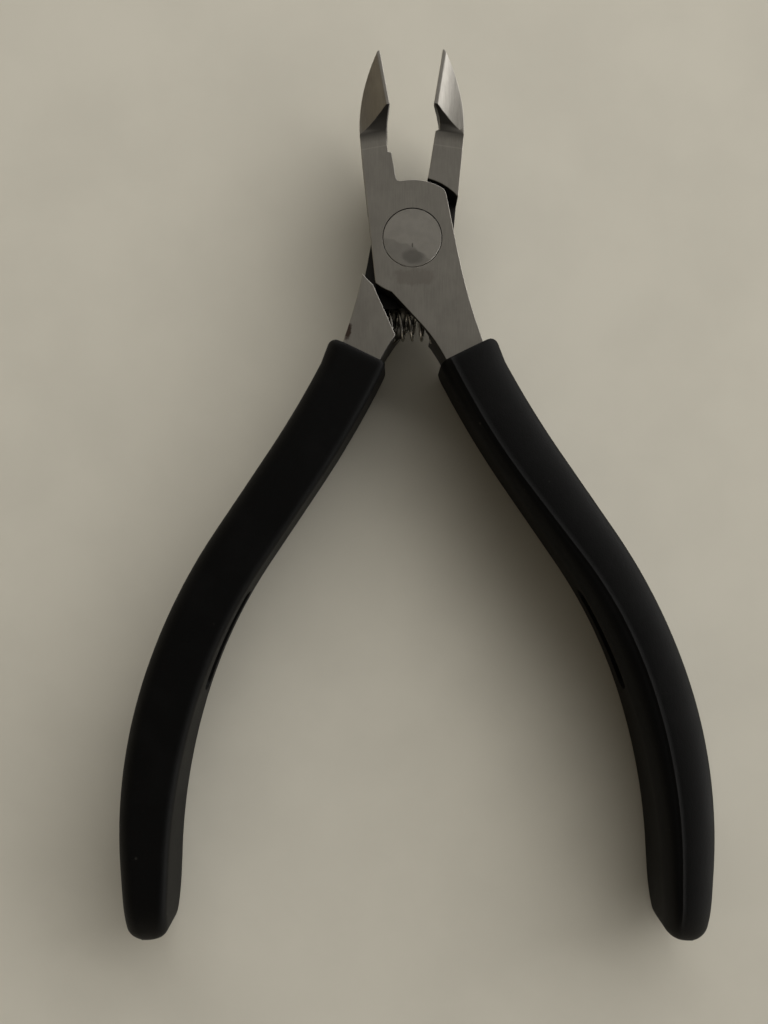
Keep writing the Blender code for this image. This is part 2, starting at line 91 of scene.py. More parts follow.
def number(tree, operation, *values):
    """The result of a sum on numbers or sockets."""
    return add_node(tree, "ShaderNodeMath", enumerate(values), operation=operation).outputs[0]


def vector(tree, operation, *values):
    """The result of a sum on vectors or sockets, which is a number for a dot product or a length."""
    made = add_node(tree, "ShaderNodeVectorMath", enumerate(values), operation=operation)
    return made.outputs["Value" if operation in ("DOT_PRODUCT", "LENGTH") else "Vector"]


def scaled(tree, mask, gain, base=0.0):
    """A mask times a gain, on top of a base that is a number or another socket."""
    return number(tree, "MULTIPLY_ADD", mask, gain, base)


def ramp(tree, value, low, high, to_low=0.0, to_high=1.0):
    """A smooth step of a value from one range to another."""
    inputs = {"Value": value, "From Min": low, "From Max": high, "To Min": to_low, "To Max": to_high}
    return add_node(tree, "ShaderNodeMapRange", inputs, interpolation_type="SMOOTHSTEP").outputs[0]


def tone(colour, strength=1.0):
    """A colour made darker or lighter by a strength, in the form that a colour socket takes."""
    return (*[value * strength for value in colour], 1.0)


def mix_colour(tree, share, first, second):
    """Two colours mixed by a share, given as a number or a socket."""
    inputs = {0: share, 6: first, 7: second}
    return add_node(tree, "ShaderNodeMix", inputs, data_type="RGBA").outputs[2]


def surface_place(tree):
    """Where a point of a surface lies, in metres."""
    return tree.nodes.new("ShaderNodeTexCoord").outputs["Object"]


def along_axes(tree, place):
    """The three parts of a vector."""
    return add_node(tree, "ShaderNodeSeparateXYZ", {0: place}).outputs


def stretched_noise(tree, place, cells, detail=3.0, rough=0.55, turn=0.0):
    """Noise over a place in metres, with the cells per millimetre along each axis."""
    per_metre = [count / MM for count in cells]
    mapping = add_node(tree, "ShaderNodeMapping", {"Vector": place, "Scale": per_metre})
    mapping.inputs["Rotation"].default_value[2] = turn
    inputs = {"Vector": mapping.outputs[0], "Scale": 1.0, "Detail": detail, "Roughness": rough}
    return add_node(tree, "ShaderNodeTexNoise", inputs).outputs["Fac"]


def shade_group(name, inputs, outputs):
    """An empty shader node group, with float or vector inputs and float outputs: tree, start and end."""
    tree = bpy.data.node_groups.new(name, "ShaderNodeTree")
    for label, value in inputs.items():
        kind = "NodeSocketFloat" if isinstance(value, float) else "NodeSocketVector"
        socket = tree.interface.new_socket(label, in_out="INPUT", socket_type=kind)
        socket.default_value = value
    for label in outputs:
        tree.interface.new_socket(label, in_out="OUTPUT", socket_type="NodeSocketFloat")
    return tree, tree.nodes.new("NodeGroupInput").outputs, tree.nodes.new("NodeGroupOutput").inputs


def placed(tree, group, values=()):
    """A node group placed in a material with its own values: the group's outputs."""
    return add_node(tree, "ShaderNodeGroup", values, node_tree=group).outputs


def handling_marks():
    """Smudges from the hand and thin stray scratches, over any of the tool's surfaces."""
    labels = ("Smudge", "Scratch")
    tree, start, end = shade_group("handling_marks", dict.fromkeys(labels, 1.0), labels)
    place = surface_place(tree)
    broad = stretched_noise(tree, place, cells=(0.16, 0.16, 0.16), detail=4.0)
    smudge = number(tree, "MULTIPLY", ramp(tree, broad, 0.46, 0.68), start["Smudge"])
    tree.links.new(smudge, end["Smudge"])
    fine = stretched_noise(tree, place, cells=(2.6, 0.07, 0.6), detail=1.0, rough=0.4, turn=0.5)
    crossed = stretched_noise(tree, place, cells=(0.09, 2.2, 0.6), detail=1.0, rough=0.4, turn=0.35)
    lines = number(tree, "MAXIMUM", ramp(tree, fine, 0.70, 0.74), ramp(tree, crossed, 0.72, 0.76))
    broken = number(tree, "MULTIPLY", lines, ramp(tree, broad, 0.40, 0.60))
    tree.links.new(number(tree, "MULTIPLY", broken, start["Scratch"]), end["Scratch"])
    return tree


def ragged_spot():
    """A ragged spot round a centre, both in metres: 1 in the middle and 0 past its reach."""
    inputs = {"Centre": (0.0, 0.0, 0.0), "Reach": (1.0, 1.0, 1.0), "Raggedness": 1.0}
    tree, start, end = shade_group("ragged_spot", inputs, ("Mask",))
    place = surface_place(tree)
    offset = vector(tree, "SUBTRACT", place, start["Centre"])
    away = vector(tree, "LENGTH", vector(tree, "DIVIDE", offset, start["Reach"]))
    noise = stretched_noise(tree, place, cells=(0.9, 0.9, 0.9), detail=4.0)
    uneven = number(tree, "SUBTRACT", noise, 0.5)
    ragged = number(tree, "MULTIPLY_ADD", uneven, start["Raggedness"], away)
    tree.links.new(ramp(tree, ragged, 0.55, 1.0, to_low=1.0, to_high=0.0), end["Mask"])
    return tree


def near_black_sides():
    """Where a lever is made near-black: its upright sides and the lapped faces between the two levers."""
    tree, _, end = shade_group("near_black_sides", {}, ("Mask",))
    facing = along_axes(tree, tree.nodes.new("ShaderNodeNewGeometry").outputs["True Normal"])
    level = number(tree, "ABSOLUTE", facing["Z"])
    upright = ramp(tree, level, 0.15, 0.35, to_low=1.0, to_high=0.0)
    where = along_axes(tree, surface_place(tree))
    depth = number(tree, "ABSOLUTE", number(tree, "SUBTRACT", where["Z"], LAP_HEIGHT))
    between = number(tree, "LESS_THAN", depth, LAP_BAND)
    lapped = number(tree, "MULTIPLY", between, number(tree, "LESS_THAN", where["Y"], LAP_REACH))
    tree.links.new(number(tree, "MAXIMUM", upright, lapped), end["Mask"])
    return tree


def scoop_edge_highlight():
    """A painted highlight: the fine bright line across a jaw where its flat face rolls into the scoop."""
    tree, start, end = shade_group("scoop_edge_highlight", {"Along": (0.0, 1.0, 0.0)}, ("Mask",))
    along = vector(tree, "DOT_PRODUCT", surface_place(tree), start["Along"])
    past = number(tree, "ABSOLUTE", number(tree, "SUBTRACT", along, SCOOP_EDGE_START))
    line = ramp(tree, past, HIGHLIGHT_LINE_CORE, HIGHLIGHT_LINE_REACH, to_low=1.0, to_high=0.0)
    tree.links.new(line, end["Mask"])
    return tree


def scoop_painted_shade():
    """Painted shade where a head is scooped out behind its cutting edges: the faces that look back towards
    the handles.
    """
    tree, start, end = shade_group("scoop_painted_shade", {"Back": (0.0, -1.0, 0.0)}, ("Mask",))
    normal = tree.nodes.new("ShaderNodeTexCoord").outputs["Normal"]
    facing = vector(tree, "DOT_PRODUCT", normal, start["Back"])
    tree.links.new(ramp(tree, facing, 0.05, 0.22), end["Mask"])
    return tree


marks = handling_marks()
spots = ragged_spot()
near_black_group = near_black_sides()
edge_highlights = scoop_edge_highlight()
scoop_shading = scoop_painted_shade()


def spot(tree, centre, reach, raggedness):
    """The mask of a ragged spot round a centre, with its reach along each axis, in millimetres."""
    values = {"Centre": Vector(centre) * MM, "Reach": Vector(reach) * MM, "Raggedness": raggedness}
    return placed(tree, spots, values)["Mask"]


def new_material(name, values):
    """A material with one Principled shader, whose plain values are set on its own sockets."""
    made = bpy.data.materials.new(name)
    made.use_nodes = True
    shader = made.node_tree.nodes["Principled BSDF"]
    for label, value in values.items():
        shader.inputs[label].default_value = value
    return made, made.node_tree, shader


def add_bump(tree, shader, height, distance):
    """Raises the surface by a height from 0 to 1 over a distance."""
    bump = add_node(tree, "ShaderNodeBump", {"Height": height, "Strength": 1.0, "Distance": distance})
    tree.links.new(bump.outputs[0], shader.inputs["Normal"])


def ground_steel(name, lean, stains):
    """Ground tool steel: a satin grain along the lever, smudges, fine scratches and a few stains."""
    made, tree, shader = new_material(name, {"Metallic": 1.0})
    place = surface_place(tree)
    grain = stretched_noise(tree, place, cells=(7.0, 0.35, 7.0), rough=0.6)
    cloud = stretched_noise(tree, place, cells=(0.45, 0.3, 0.45), rough=0.6)
    worn = placed(tree, marks, {"Smudge": 0.2, "Scratch": 0.12})
    shade = scaled(tree, grain, gain=0.55, base=scaled(tree, cloud, gain=0.45))
    base = mix_colour(tree, ramp(tree, shade, 0.32, 0.68), tone(STEEL, 0.90), tone(STEEL, 1.08))
    base = mix_colour(tree, worn["Smudge"], base, tone(STEEL, 0.74))
    base = mix_colour(tree, worn["Scratch"], base, tone(STEEL, 1.45))
    # Painted highlight: a fine bright line where the jaw's flat face rolls into the scoop.
    edge_highlight = placed(tree, edge_highlights, {"Along": (-math.sin(lean), math.cos(lean), 0.0)})["Mask"]
    base = mix_colour(tree, scaled(tree, edge_highlight, gain=0.25), base, tone(STEEL, 1.7))
    # Painted shade: the scooped faces that look back towards the handles are darkened.
    scoop_shade = placed(tree, scoop_shading, {"Back": (math.sin(lean), -math.cos(lean), 0.0)})["Mask"]
    base = mix_colour(tree, scaled(tree, scoop_shade, gain=0.8), base, tone(STEEL, 0.22))
    for centre, reach, tint, strength in stains:
        mask = scaled(tree, spot(tree, centre, reach, STAIN_RAGGEDNESS), gain=strength)
        base = mix_colour(tree, mask, base, tone(tint))
    # Upright sides and the lapped faces near the joint are made near-black, less metallic and rougher.
    near_black = placed(tree, near_black_group)["Mask"]
    black = mix_colour(tree, cloud, tone(SIDE_BLACK), tone(SIDE_GREY))
    tree.links.new(mix_colour(tree, near_black, base, black), shader.inputs["Base Color"])
    tree.links.new(scaled(tree, near_black, gain=-0.75, base=1.0), shader.inputs["Metallic"])
    rough = scaled(tree, grain, gain=0.10, base=0.26)
    rough = scaled(tree, worn["Smudge"], gain=0.12, base=rough)
    rough = scaled(tree, near_black, gain=0.16, base=rough)
    tree.links.new(rough, shader.inputs["Roughness"])
    height = scaled(tree, worn["Scratch"], gain=-1.0, base=grain)
    add_bump(tree, shader, height, STEEL_GRAIN_DEPTH)
    return made


def edge_breaks():
    """Geometry nodes that shade a solid smoothly between its sharp edges and say how far each is broken."""
    tree = bpy.data.node_groups.new("edge_breaks", "GeometryNodeTree")
    for direction in ("INPUT", "OUTPUT"):
        tree.interface.new_socket("Geometry", in_out=direction, socket_type="NodeSocketGeometry")
    start = tree.nodes.new("NodeGroupInput")
    end = tree.nodes.new("NodeGroupOutput")
    smooth = add_node(tree, "GeometryNodeSetShadeSmooth", {"Geometry": start.outputs[0]}, domain="FACE")
    angle = tree.nodes.new("GeometryNodeInputMeshEdgeAngle").outputs["Unsigned Angle"]
    sharp = number(tree, "GREATER_THAN", angle, LEVER_SHARP_ANGLE)
    inputs = {"Geometry": smooth.outputs[0], "Selection": sharp, "Shade Smooth": False}
    crease = add_node(tree, "GeometryNodeSetShadeSmooth", inputs, domain="EDGE")
    place = tree.nodes.new("GeometryNodeInputPosition").outputs[0]
    radius = vector(tree, "LENGTH", vector(tree, "MULTIPLY", place, (1.0, 1.0, 0.0)))
    outside = number(tree, "GREATER_THAN", radius, RIVET_SEAT_REACH)
    share = scaled(tree, outside, gain=1 - RIVET_SEAT_BREAK, base=RIVET_SEAT_BREAK)
    weight = number(tree, "MULTIPLY", sharp, share)
    inputs = {"Geometry": crease.outputs[0], "Name": "bevel_weight_edge", "Value": weight}
    stored = add_node(tree, "GeometryNodeStoreNamedAttribute", inputs, domain="EDGE", data_type="FLOAT")
    tree.links.new(stored.outputs[0], end.inputs[0])
    return tree


def break_edges(thing):
    """Rounds a lever's sharp edges over a small width, with modifiers alone."""
    seams = thing.modifiers.new("seams", "WELD")
    seams.merge_threshold = SEAM_WELD
    flats = thing.modifiers.new("flats", "DECIMATE")
    flats.decimate_type = "DISSOLVE"
    flats.angle_limit = LEVER_FLAT_ANGLE
    thing.modifiers.new("breaks", "NODES").node_group = breaks
    edges = thing.modifiers.new("edges", "BEVEL")
    edges.limit_method = "WEIGHT"
    edges.width = LEVER_EDGE_BREAK
    edges.segments = EDGE_BREAK_STEPS
    edges.use_clamp_overlap = False
    thing.modifiers.new("shading", "WEIGHTED_NORMAL").mode = "FACE_AREA"


breaks = edge_breaks()
# Each stain has its centre and its reach in millimetres, its colour and its strength.
front_stains = [((0.3, -5.6, 7.0), (3.6, 1.6, 3.0), GREASE_STAIN, 0.4)]
rear_stains = [((-9.3, -13.2, 6.6), (0.7, 1.5, 2.0), RUST_STAIN, 0.85)]
for name, lean, stains in (
    ("front_lever", HALF_OPENING, front_stains),
    ("rear_lever", -HALF_OPENING, rear_stains),
):
    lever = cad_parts[name]
    lever.material_slots[0].material = ground_steel(name + "_steel", lean, stains)
    break_edges(lever)

# The rivet: turned steel, its two heads let into the levers and faced off flush after it was set.
# The lathe left fine rings on the face, which has a nick near the middle; a painted dark reflection fans
# out below it.

RIVET_RADIUS = 4.15
RIVET_SHANK_RADIUS = 2.5
RIVET_HEAD_DEPTH = 1.4
RIVET_CHAMFER = 0.05
RIVET_HEIGHT = 7.0
RIVET_SIDES = 96
RIVET_SHARP_ANGLE = math.radians(35)
FACE_STEPS = 40
RING_PITCH = 0.34
RING_DEPTH = 0.006
FINE_RING_PITCH = 0.11 * MM
FINE_RING_DEPTH = 0.002 * MM
NICK = (0.0, -1.08, RIVET_HEIGHT)
NICK_REACH = (0.14, 0.42, 3.0)
FAN_MIDDLE = (0.1, -2.7, RIVET_HEIGHT)
FAN_REACH = (1.9, 1.3, 3.0)
# The painted dark reflection fans out from the nick between two sides: the ways into the fan, square to
# each side.
FAN_SIDES_INWARD = (251, 233)
FAN_SIDE_FADE = 0.35 * MM
FAN_SIDE_RAGGEDNESS = 1.2 * MM

RIVET_STEEL = (0.49, 0.471, 0.437)


def rivet_face():
    """The head's face from its middle out to the chamfer: radius and depth below the top."""
    flat = RIVET_RADIUS - RIVET_CHAMFER
    profile = []
    for i in range(FACE_STEPS + 1):
        radius = flat * i / FACE_STEPS
        wave = 0.5 + 0.5 * math.cos(2 * math.pi * radius / RING_PITCH)
        profile.append((radius, RING_DEPTH * wave))
    profile.append((RIVET_RADIUS, RIVET_CHAMFER))
    return profile


def finished_mesh(name, work, sharp):
    """Turns a worked mesh into an object, shaded smoothly up to a sharp angle."""
    mesh = bpy.data.meshes.new(name)
    work.to_mesh(mesh)
    work.free()
    mesh.shade_smooth()
    mesh.set_sharp_from_angle(angle=sharp)
    made = bpy.data.objects.new(name, mesh)
    bpy.context.scene.collection.objects.link(made)
    return made


def turned(name, profile, sides):
    """A closed turned solid round the Z axis, from a profile of radius and height in millimetres."""
    work = bmesh.new()
    rows = []
    for radius, height in profile:
        turns = sides if radius else 1
        row = []
        for i in range(turns):
            angle = 2 * math.pi * i / sides
            point = Vector((radius * math.cos(angle), radius * math.sin(angle), height))
            row.append(work.verts.new(point * MM))
        rows.append(row)
    for upper, lower in zip(rows, rows[1:]):
        for i in range(sides):
            ring = [upper[i % len(upper)], upper[(i + 1) % len(upper)]]
            ring += [lower[(i + 1) % len(lower)], lower[i % len(lower)]]
            work.faces.new(list(dict.fromkeys(ring)))
    bmesh.ops.recalc_face_normals(work, faces=work.faces)
    return finished_mesh(name, work, RIVET_SHARP_ANGLE)


def turned_steel():
    """Faced steel: rings left by the tool, a small nick and a painted dark reflection fanning down from it.
    """
    made, tree, shader = new_material("turned_steel", {"Metallic": 1.0})
    place = surface_place(tree)
    radius = vector(tree, "LENGTH", vector(tree, "MULTIPLY", place, (1.0, 1.0, 0.0)))
    waves = number(tree, "SINE", number(tree, "MULTIPLY", radius, 2 * math.pi / FINE_RING_PITCH))
    cloud = stretched_noise(tree, place, cells=(0.7, 0.7, 0.7), detail=4.0)
    rings = ramp(tree, scaled(tree, waves, gain=0.12, base=cloud), 0.25, 0.75)
    base = mix_colour(tree, rings, tone(RIVET_STEEL, 0.93), tone(RIVET_STEEL, 1.07))
    from_nick = vector(tree, "SUBTRACT", place, Vector(NICK) * MM)
    uneven = number(tree, "SUBTRACT", cloud, 0.5)
    # Painted reflection: the dark fan of the turned face's reflection, spreading down from the nick.
    dark_fan = 1.0
    for inward in FAN_SIDES_INWARD:
        turn = math.radians(inward)
        past = vector(tree, "DOT_PRODUCT", from_nick, (math.cos(turn), math.sin(turn), 0.0))
        ragged = scaled(tree, uneven, gain=FAN_SIDE_RAGGEDNESS, base=past)
        dark_fan = number(tree, "MULTIPLY", dark_fan, ramp(tree, ragged, 0.0, FAN_SIDE_FADE))
    fan_core = spot(tree, FAN_MIDDLE, FAN_REACH, raggedness=0.5)
    fan_shade = number(tree, "MULTIPLY", dark_fan, scaled(tree, fan_core, gain=0.34, base=0.30))
    base = mix_colour(tree, fan_shade, base, tone(RIVET_STEEL, 0.30))
    mark = scaled(tree, spot(tree, NICK, NICK_REACH, raggedness=0.1), gain=0.75)
    base = mix_colour(tree, mark, base, tone(RIVET_STEEL, 0.25))
    tree.links.new(base, shader.inputs["Base Color"])
    tree.links.new(scaled(tree, cloud, gain=0.12, base=0.30), shader.inputs["Roughness"])
    add_bump(tree, shader, waves, FINE_RING_DEPTH)
    return made


face = rivet_face()
rivet_profile = [(radius, RIVET_HEIGHT - depth) for radius, depth in face]
rivet_profile += [(RIVET_RADIUS, RIVET_HEIGHT - RIVET_HEAD_DEPTH)]
rivet_profile += [(RIVET_SHANK_RADIUS, RIVET_HEIGHT - RIVET_HEAD_DEPTH)]
rivet_profile += [(RIVET_SHANK_RADIUS, RIVET_HEAD_DEPTH), (RIVET_RADIUS, RIVET_HEAD_DEPTH)]
rivet_profile += [(radius, depth) for radius, depth in reversed(face)]
rivet = turned("turned_rivet", rivet_profile, RIVET_SIDES)
rivet.data.materials.append(turned_steel())
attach(rivet, "front_lever")
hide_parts("pivot_rivet")

# The return spring: cold-drawn steel wire wound into a compression coil with closed ends.
# It sits across the joint in a round pocket in each tang and pushes the handles open.

SPRING_Y = -11.7
SPRING_Z = 3.5
SPRING_END = 5.7
WIRE_RADIUS = 0.225
WIRE_SIDES = 12
WIRE_SHARP_ANGLE = math.radians(60)
COIL_RADIUS = 2.025
COIL_TURNS = 9
CLOSED_TURNS = 0.75
CLOSED_PITCH = 0.55
STEPS_PER_TURN = 28
DRAW_LINE_DEPTH = 0.002 * MM

WIRE_STEEL = (0.50, 0.48, 0.44)
SPRING_OIL = (0.16, 0.14, 0.115)


def coil_line():
    """The wire's centre line, close-wound at both ends and even between them."""
    count = COIL_TURNS * STEPS_PER_TURN
    travel = 2 * (SPRING_END - WIRE_RADIUS)
    open_turns = COIL_TURNS - 2 * CLOSED_TURNS
    open_pitch = (travel - 2 * CLOSED_TURNS * CLOSED_PITCH) / open_turns
    line = []
    along = WIRE_RADIUS - SPRING_END
    for i in range(count + 1):
        turn = i / STEPS_PER_TURN
        angle = 2 * math.pi * turn
        across = COIL_RADIUS * math.cos(angle)
        up = COIL_RADIUS * math.sin(angle)
        line.append(Vector((along, SPRING_Y + across, SPRING_Z + up)))
        closed = turn < CLOSED_TURNS or turn >= COIL_TURNS - CLOSED_TURNS
        along += (CLOSED_PITCH if closed else open_pitch) / STEPS_PER_TURN
    return line


def loft(work, rings):
    """Joins a row of closed rings with faces and closes both ends."""
    for near, far in zip(rings, rings[1:]):
        for k in range(len(near)):
            work.faces.new((near[k - 1], near[k], far[k], far[k - 1]))
    work.faces.new(rings[0])
    work.faces.new(rings[-1])


def wire(name, line):
    """The round wire of the spring along a line in millimetres, with flat cut ends."""
    work = bmesh.new()
    rings = []
    for i, point in enumerate(line):
        ahead = line[min(i + 1, len(line) - 1)]
        behind = line[max(i - 1, 0)]
        run = (ahead - behind).normalized()
        outward = (point - Vector((point.x, SPRING_Y, SPRING_Z))).normalized()
        outward = (outward - run * outward.dot(run)).normalized()
        across = run.cross(outward)
        ring = []
        for k in range(WIRE_SIDES):
            angle = 2 * math.pi * k / WIRE_SIDES
            reach = outward * math.cos(angle) + across * math.sin(angle)
            ring.append(work.verts.new((point + reach * WIRE_RADIUS) * MM))
        rings.append(ring)
    loft(work, rings)
    bmesh.ops.recalc_face_normals(work, faces=work.faces)
    return finished_mesh(name, work, WIRE_SHARP_ANGLE)


def drawn_wire():
    """Drawn spring wire: faint lines along the draw, a little oil and bright rubbed places."""
    made, tree, shader = new_material("drawn_wire", {"Metallic": 1.0})
    place = surface_place(tree)
    lines = stretched_noise(tree, place, cells=(9.0, 1.2, 1.2), detail=2.0)
    oil = stretched_noise(tree, place, cells=(0.5, 0.8, 0.8))
    base = mix_colour(tree, ramp(tree, lines, 0.3, 0.7), tone(WIRE_STEEL, 0.75), tone(WIRE_STEEL, 1.15))
    base = mix_colour(tree, ramp(tree, oil, 0.5, 0.75), base, tone(SPRING_OIL))
    tree.links.new(base, shader.inputs["Base Color"])
    tree.links.new(scaled(tree, oil, gain=0.25, base=0.16), shader.inputs["Roughness"])
    add_bump(tree, shader, lines, DRAW_LINE_DEPTH)
    return made


coil = wire("coil_spring", coil_line())
coil.data.materials.append(drawn_wire())
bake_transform(coil)
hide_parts("return_spring")

# The two grips: sleeves of matte black soft plastic, moulded and pushed over the tangs.
# Each has a mould line on one face and a flat other face, a flared mouth, a slot in its inner side
# and a gate nub at its end. The left one is the same moulding turned over.

GRIP_MIDDLE = 3.5
GRIP_WIDTH = 8.4
GRIP_END_WIDTH = 5.6
GRIP_HALF_HEIGHT = 5.2
GRIP_LENGTH = 90.95
GRIP_TAPER = 36.0
GRIP_SHARP_ANGLE = math.radians(50)
HANDLE_START = (4.8, -17.2)
HANDLE_LEAN = math.radians(17.0)
OUT_BEND_RADIUS = 146.0
OUT_BEND = math.radians(7.7)
HANDLE_STRAIGHT = 13.2
IN_BEND_RADIUS = 77.8
IN_BEND = math.radians(34.8)
MOUTH_FLARE = 0.45
FLARE_LENGTH = 4.0
MOUTH_ROUND = 1.2
MOUTH_STEPS = 5
LIP_ROUND = 0.3
END_ROUND = 2.0
END_ANGLES = (0, 12, 24, 36, 48, 60, 72, 82)
END_FACE_SHARE = 0.55
END_SWEEP = 6.5
END_SWEEP_DEPTH = 3.0
END_SWEEP_SHARE = 0.96
END_SWEEP_ROUNDING = 0.4
CROWN_DEPTH = 1.9
CROWN_STEPS = 16
SIDE_STEPS = 5
FLAT_FACE_ROUND = 2.2
FLAT_FACE_STEPS = 4
INNER_ROUND = 1.1
INNER_ROUND_STEPS = 8
SHOULDER_DEPTH = 2.6
SHOULDER_STEPS = 12
MOULD_LINE_HEIGHT = 0.09
MOULD_LINE_WIDTH = 0.17
MOULD_LINE_CREST = 0.3
MOULD_LINE_CLEARANCE = 0.05
MOULD_LINE_FADE = 0.6
MOULD_LINE_START = -2.7
# How far the mould line drifts outward, and between which stations.
MOULD_LINE_DRIFTS = ((1.3, 9.0, 47.0), (-0.1, 50.0, 68.0))
NUB_RADIUS = 0.42
NUB_REACH = 0.28
NUB_RISE = 1.2
NUB_FLATNESS = 0.7
NUB_SIDES = 9
NUB_PROFILE = ((1.0, -1.0), (0.9, 0.3), (0.5, 1.0))
SLOT_STATION = 46.1
SLOT_HALF_LENGTH = 6.8
SLOT_HALF_WIDTH = 1.35
SLOT_DEPTH = 1.75
SLOT_WALL = 0.1
SLOT_RIM = 1.62
SLOT_RIM_DEPTH = 0.07
SLOT_RIM_FADE = 0.2
# The rows of points on the inner side, as heights above the middle: they crowd at the slot's edge.
SLOT_ROWS = (1.45, 1.385, 1.305, 1.22, 1.0, 0.72, 0.42, 0.14)
# Where each stretch of the body starts and the step of its sections, which is finer at the slot's ends.
BODY_STRETCHES = ((1.6, 0.6), (4.0, 1.1), (36.5, 0.22), (40.0, 1.0), (52.0, 0.22), (56.0, 1.1))
TANG_OUTER = 2.5
TANG_WIDTH = 5.6
TANG_TIP_WIDTH = 3.8
TANG_LENGTH = 63.3
TANG_SWELL = 0.25
TANG_SWELL_LENGTH = 4.5
TANG_CLEARANCE = 0.2
TANG_HALF_HEIGHT = 3.5
HOLLOW_STEP = 2.0
PLASTIC_GRAIN_DEPTH = 0.02 * MM
DUST_CELLS = 0.42

BLACK_PLASTIC = (0.0016, 0.0016, 0.00165)
PALE_SCUFF = (0.02, 0.0195, 0.019)
DUST = (0.04, 0.038, 0.034)


def handle_line(station):
    """The handle's centre line in the shut lever: the point there and its outward side."""
    point = Vector(HANDLE_START)
    lean = HANDLE_LEAN
    out_bend = (OUT_BEND * OUT_BEND_RADIUS, 1 / OUT_BEND_RADIUS)
    in_bend = (IN_BEND * IN_BEND_RADIUS, -1 / IN_BEND_RADIUS)
    left = station
    for length, curvature in (out_bend, (HANDLE_STRAIGHT, 0.0), in_bend, (math.inf, 0.0)):
        run = min(left, length)
        half_turn = curvature * run / 2
        middle = lean + half_turn
        chord = run * (math.sin(half_turn) / half_turn if half_turn else 1.0)
        point = point + Vector((math.sin(middle), -math.cos(middle))) * chord
        lean += 2 * half_turn
        left -= run
        if left <= 0:
            break
    return point, Vector((math.cos(lean), math.sin(lean)))


def eased(value, low, high):
    """A smooth step from 0 at low to 1 at high."""
    share = min(max((value - low) / (high - low), 0.0), 1.0)
    return share * share * (3 - 2 * share)


def mould_line(station):
    """How far the mould line lies from the handle line, outward being positive."""
    offset = MOULD_LINE_START
    for drift, start, end in MOULD_LINE_DRIFTS:
        offset += drift * eased(station, start, end)
    return offset


def end_drop(station):
    """How far the faces sweep in towards the middle at the far end."""
    swept = min(max((station - GRIP_LENGTH + END_SWEEP) / END_SWEEP, 0.0), 1.0)
    return END_SWEEP_DEPTH * (1 - math.sqrt(1 - END_SWEEP_SHARE * swept**2))


def slot_depth(station, height):
    """How deep the inner side is let in at a height above the middle: the slot and its soft rim."""
    past = max(abs(station - SLOT_STATION) - SLOT_HALF_LENGTH, 0.0)
    outside = math.hypot(past, height) - SLOT_HALF_WIDTH
    rim = SLOT_RIM_DEPTH * math.exp(-max(outside, 0.0) / SLOT_RIM_FADE)
    return SLOT_DEPTH * min(max((SLOT_WALL / 2 - outside) / SLOT_WALL, 0.0), 1.0) + rim


def half_section(station, inset, outer_inset, ridged):
    """Half a section of the grip, from its outer side over the crown to its inner side.

    The ridged half has the mould line with a rounded shoulder inward of it, the other half a flat face.
    """
    taper = max(0.0, station - GRIP_LENGTH + GRIP_TAPER) / GRIP_TAPER
    width = GRIP_WIDTH + (GRIP_END_WIDTH - GRIP_WIDTH) * taper**2
    outer = width / 2 + MOUTH_FLARE * max(0.0, 1 - station / FLARE_LENGTH) - outer_inset
    inner = -width / 2 + inset
    drop = end_drop(station)
    top = GRIP_HALF_HEIGHT - MOULD_LINE_HEIGHT - max(inset, drop)
    crown = max(CROWN_DEPTH - outer_inset, CROWN_DEPTH / 2)
    corner = max(INNER_ROUND - inset, INNER_ROUND / 2) + END_SWEEP_ROUNDING * drop
    line = max(mould_line(station), inner + corner + MOULD_LINE_WIDTH + MOULD_LINE_CLEARANCE)
    shelf = line - MOULD_LINE_WIDTH
    if ridged:
        foot = line + MOULD_LINE_WIDTH
        ridge = MOULD_LINE_HEIGHT * (1 - eased(max(inset, drop), 0.0, MOULD_LINE_FADE))
        bend_width = shelf - inner
        bend_depth = max(SHOULDER_DEPTH - inset, SHOULDER_DEPTH / 2)
        bends = range(1, SHOULDER_STEPS + 1)
    else:
        foot = max(line + MOULD_LINE_WIDTH, outer - FLAT_FACE_ROUND)
        ridge = 0.0
        bend_width = corner
        bend_depth = corner
        bends = range(INNER_ROUND_STEPS + 1)
    points = [(outer, (top - crown) * i / SIDE_STEPS) for i in range(SIDE_STEPS)]
    for i in range(CROWN_STEPS + 1):
        angle = math.radians(90 * i / CROWN_STEPS)
        points.append((foot + (outer - foot) * math.cos(angle), top - crown + crown * math.sin(angle)))
    crest = MOULD_LINE_CREST * MOULD_LINE_WIDTH
    points += [(line + crest, top + ridge), (line - crest, top + ridge), (shelf, top)]
    bend_start = inner + bend_width
    if not ridged:
        for i in range(1, FLAT_FACE_STEPS):
            points.append((shelf + (bend_start - shelf) * i / FLAT_FACE_STEPS, top))
    for i in bends:
        angle = math.radians(90 + 90 * i / bends[-1])
        across = bend_start + bend_width * math.cos(angle)
        points.append((across, top + bend_depth * (math.sin(angle) - 1)))
    wall = top - bend_depth
    heights = [SLOT_RIM + (wall - SLOT_RIM) * share for share in (0.75, 0.5, 0.25)]
    for height in (*heights, SLOT_RIM, *SLOT_ROWS):
        points.append((inner + slot_depth(station, height), height))
    return points


